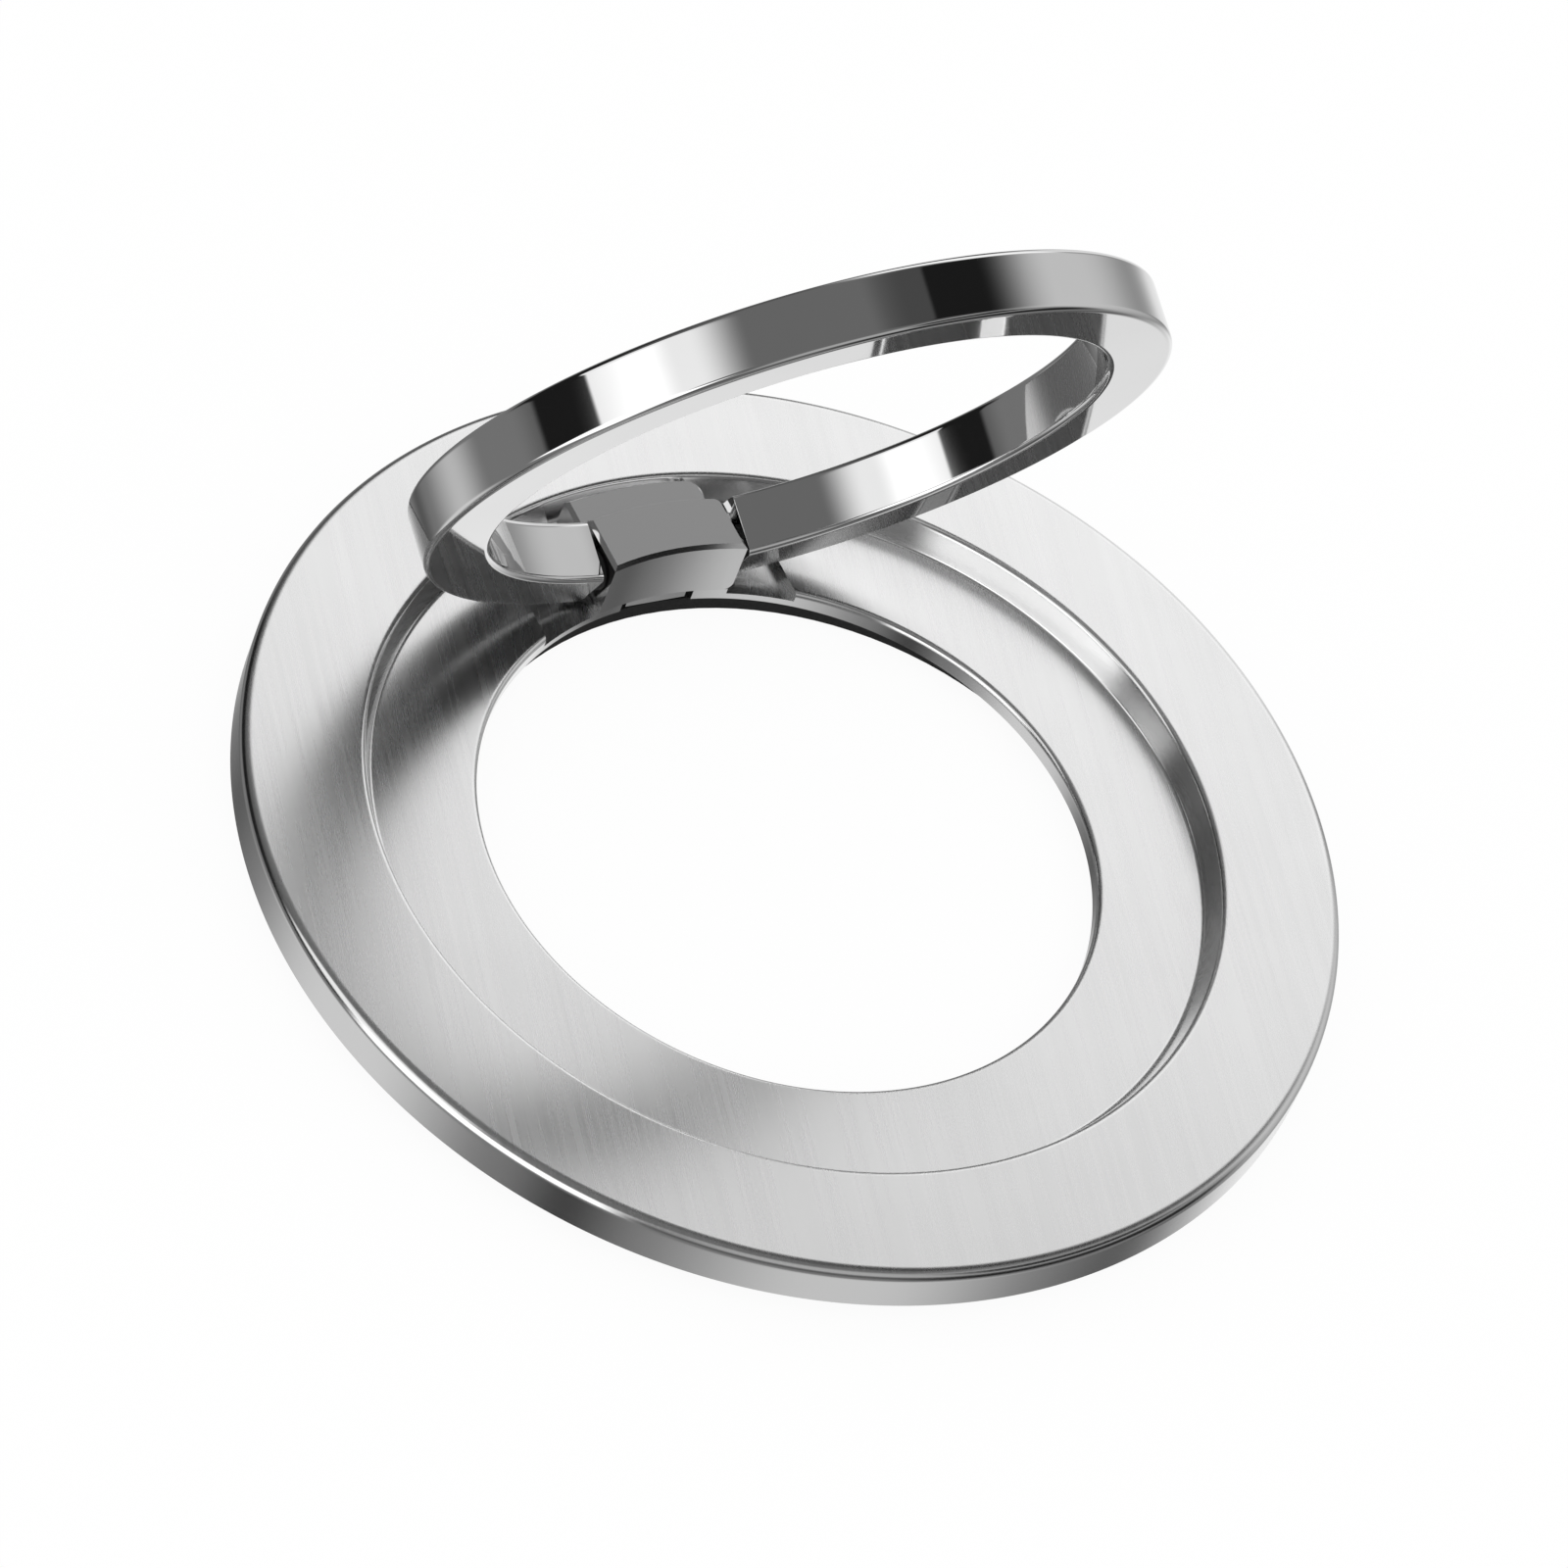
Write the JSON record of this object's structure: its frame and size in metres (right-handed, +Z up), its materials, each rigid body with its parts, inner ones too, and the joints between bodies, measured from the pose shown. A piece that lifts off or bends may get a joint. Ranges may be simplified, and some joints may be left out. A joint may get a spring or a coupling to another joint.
{
  "type": "phone ring holder",
  "caption": "Magnetic phone ring holder: brushed round base with a recessed, open centre and a polished finger ring on a friction hinge, shown raised.",
  "frame": {"origin": "on the axis of the base plate, at the underside of the backing pad", "axes": "+Z up out of the base, +Y from the plate's axis to the hinge, X along the hinge pin"},
  "size_m": [0.058, 0.058, 0.0386],
  "materials": {
    "brushed_plate": "straight brushed",
    "polished_ring": "mirror polished",
    "satin_block": "satin with polished edges",
    "pin_steel": "ground",
    "washer_plastic": "matt",
    "screw_steel": "plain",
    "magnet_plating": "nickel plated",
    "shunt_steel": "plain",
    "film": "matt",
    "black_pad": "matt"
  },
  "bodies": {
    "base": {"base_plate": "brushed_plate", "hinge_block": "satin_block", "friction_washers": "washer_plastic", "hinge_screws": "screw_steel", "magnets": "magnet_plating", "shunt_ring": "shunt_steel", "adhesive_film": "film", "backing_pad": "black_pad"},
    "ring": {"finger_ring": "polished_ring", "hinge_pin": "pin_steel"}
  },
  "joints": [
    {"name": "ring_hinge", "type": "hinge", "parent": "base", "child": "ring", "pos_m": [0, 0.01745, 0.00335], "axis": [-1, 0, 0], "range_deg": [-69, 26]}
  ]
}
